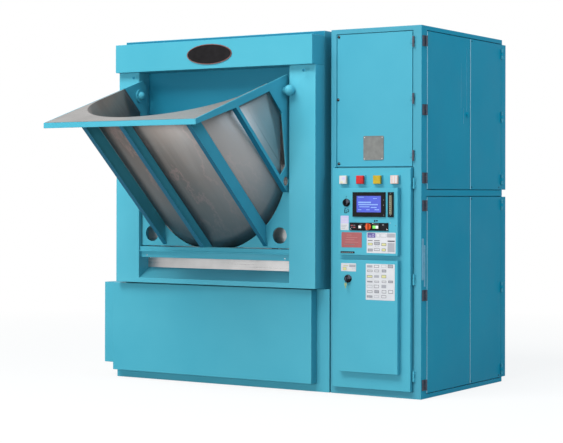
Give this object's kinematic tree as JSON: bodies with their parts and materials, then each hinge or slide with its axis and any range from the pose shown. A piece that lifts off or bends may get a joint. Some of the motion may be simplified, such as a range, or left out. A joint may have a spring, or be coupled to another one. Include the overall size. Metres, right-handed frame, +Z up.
{
  "type": "industrial tumble dryer",
  "caption": "Industrial tumble dryer with a round drum, a tilting load chute in a front frame, a base with a lint drawer, and a tall control cabinet at its side.",
  "frame": {"origin": "on the floor under the drum axis, half way back between the housing's front and rear planes", "axes": "+X to the right as seen from the front, +Y to the rear along the drum axis, +Z up"},
  "size_m": [2.376, 2.238, 2.2],
  "materials": {
    "teal_paint": "semi-gloss teal enamel",
    "stainless": "brushed stainless sheet, streaked in the scoop",
    "galvanised": "galvanised sheet",
    "black_plate": "black enamel with a thin rim",
    "machine_grey": "painted casting",
    "bright_steel": "ground steel",
    "copper_coil": "copper tube with fins",
    "hinge_steel": "dark zinc-plated steel",
    "black_rubber": "matte",
    "cream_plate": "satin enamel",
    "black_plastic": "fine texture",
    "orange_plastic": "gloss",
    "white_plastic": "gloss",
    "red_plastic": "gloss",
    "yellow_plastic": "gloss",
    "cream_plastic": "gloss"
  },
  "bodies": {
    "machine": {"base_frame": "teal_paint", "base_front_cover": "teal_paint", "lint_box": "teal_paint", "housing_side_panels": "teal_paint", "housing_top_panel": "teal_paint", "housing_rear_cover": "teal_paint", "bearing_plate": "galvanised", "front_wall": "teal_paint", "mouth_panel": "stainless", "front_frame": "teal_paint", "header_cover": "teal_paint", "badge_plate": "black_plate", "outlet_ledge": "teal_paint", "ledge_buffers": "black_rubber", "drum_casing": "galvanised", "lint_chamber": "galvanised", "heater_box": "galvanised", "heater_coil": "copper_coil", "blower_casing": "galvanised", "blower_motor": "machine_grey", "exhaust_collar": "galvanised", "drive_motor": "machine_grey", "drum_belts": "black_rubber", "bearing_housing": "machine_grey", "cabinet_frame": "teal_paint", "rear_covers": "teal_paint", "mounting_plate": "cream_plate", "electrics": "black_plastic", "door_hinges": "hinge_steel"},
    "drum": {"drum_basket": "stainless", "drum_lifters": "stainless", "drum_spider": "machine_grey", "drum_shaft": "bright_steel", "drum_pulley": "machine_grey"},
    "chute": {"chute_frame": "teal_paint", "chute_ribs": "teal_paint", "chute_plate": "stainless", "chute_scoop": "stainless", "chute_pivots": "teal_paint"},
    "lower_door": {"lower_door": "teal_paint", "control_panel": "teal_paint", "lower_panel": "teal_paint", "displays": "black_plastic", "switch_bar": "black_plastic"},
    "motor_pulley": {"motor_pulley": "machine_grey"},
    "blower_impeller": {"blower_impeller": "galvanised"},
    "lint_drawer": {"lint_drawer": "stainless"},
    "upper_door": {"upper_door": "teal_paint"},
    "rotary_switch": {"rotary_switch": "orange_plastic"},
    "key_switch": {"key_switch": "black_plastic"},
    "door_lock": {"door_lock": "black_plastic"},
    "white_button": {"white_button": "white_plastic"},
    "red_button": {"red_button": "red_plastic"},
    "yellow_button": {"yellow_button": "yellow_plastic"},
    "cream_button": {"cream_button": "cream_plastic"},
    "side_upper_front_door": {"side_upper_front_door": "teal_paint"},
    "side_upper_rear_door": {"side_upper_rear_door": "teal_paint"},
    "side_lower_front_door": {"side_lower_front_door": "teal_paint"},
    "side_lower_rear_door": {"side_lower_rear_door": "teal_paint"},
    "side_latch": {"side_latch": "black_plastic"}
  },
  "joints": [
    {"name": "chute_swing", "type": "hinge", "parent": "machine", "child": "chute", "pos_m": [0, -0.695, 1.835], "axis": [-1, 0, 0], "range_deg": [0, 68]},
    {"name": "drum_spin", "type": "hinge", "parent": "machine", "child": "drum", "pos_m": [0, 0, 1.385], "axis": [0, 1, 0], "continuous": true},
    {"name": "motor_spin", "type": "hinge", "parent": "machine", "child": "motor_pulley", "pos_m": [-0.6, 0.45, 0.79], "axis": [0, 1, 0], "continuous": true},
    {"name": "blower_spin", "type": "hinge", "parent": "machine", "child": "blower_impeller", "pos_m": [0.25, -0.1, 0.3], "axis": [1, 0, 0], "continuous": true},
    {"name": "lint_drawer_slide", "type": "slide", "parent": "machine", "child": "lint_drawer", "axis": [-1, 0, 0], "range_m": [0, 0.45]},
    {"name": "upper_door_hinge", "type": "hinge", "parent": "machine", "child": "upper_door", "pos_m": [1.373, -0.568, 1.77], "axis": [0, 0, 1], "range_deg": [0, 110]},
    {"name": "lower_door_hinge", "type": "hinge", "parent": "machine", "child": "lower_door", "pos_m": [1.378, -0.568, 0.7], "axis": [0, 0, 1], "range_deg": [0, 110]},
    {"name": "side_upper_front_hinge", "type": "hinge", "parent": "machine", "child": "side_upper_front_door", "pos_m": [1.432, -0.512, 1.7], "axis": [0, 0, -1], "range_deg": [0, 110]},
    {"name": "side_upper_rear_hinge", "type": "hinge", "parent": "machine", "child": "side_upper_rear_door", "pos_m": [1.432, 0.545, 1.7], "axis": [0, 0, 1], "range_deg": [0, 110]},
    {"name": "side_lower_front_hinge", "type": "hinge", "parent": "machine", "child": "side_lower_front_door", "pos_m": [1.432, -0.512, 0.61], "axis": [0, 0, -1], "range_deg": [0, 110]},
    {"name": "side_lower_rear_hinge", "type": "hinge", "parent": "machine", "child": "side_lower_rear_door", "pos_m": [1.432, 0.545, 0.61], "axis": [0, 0, 1], "range_deg": [0, 110]},
    {"name": "side_latch_turn", "type": "hinge", "parent": "side_upper_front_door", "child": "side_latch", "pos_m": [1.424, 0.043, 1.701], "axis": [1, 0, 0], "range_deg": [0, 90]},
    {"name": "rotary_turn", "type": "hinge", "parent": "lower_door", "child": "rotary_switch", "pos_m": [1.109, -0.625, 1.012], "axis": [0, 1, 0], "range_deg": [0, 90]},
    {"name": "key_turn", "type": "hinge", "parent": "lower_door", "child": "key_switch", "pos_m": [0.955, -0.625, 1.154], "axis": [0, 1, 0], "range_deg": [0, 90]},
    {"name": "door_lock_turn", "type": "hinge", "parent": "lower_door", "child": "door_lock", "pos_m": [0.967, -0.625, 0.7], "axis": [0, 1, 0], "range_deg": [0, 90]},
    {"name": "white_button_press", "type": "slide", "parent": "lower_door", "child": "white_button", "axis": [0, 1, 0], "range_m": [0, 0.004], "stiffness_N_per_m": 600, "springref_m": -0.003},
    {"name": "red_button_press", "type": "slide", "parent": "lower_door", "child": "red_button", "axis": [0, 1, 0], "range_m": [0, 0.004], "stiffness_N_per_m": 600, "springref_m": -0.003},
    {"name": "yellow_button_press", "type": "slide", "parent": "lower_door", "child": "yellow_button", "axis": [0, 1, 0], "range_m": [0, 0.004], "stiffness_N_per_m": 600, "springref_m": -0.003},
    {"name": "cream_button_press", "type": "slide", "parent": "lower_door", "child": "cream_button", "axis": [0, 1, 0], "range_m": [0, 0.004], "stiffness_N_per_m": 600, "springref_m": -0.003}
  ],
  "couplings": [
    {"joint": "motor_spin", "follows": "drum_spin", "ratio": 6}
  ]
}
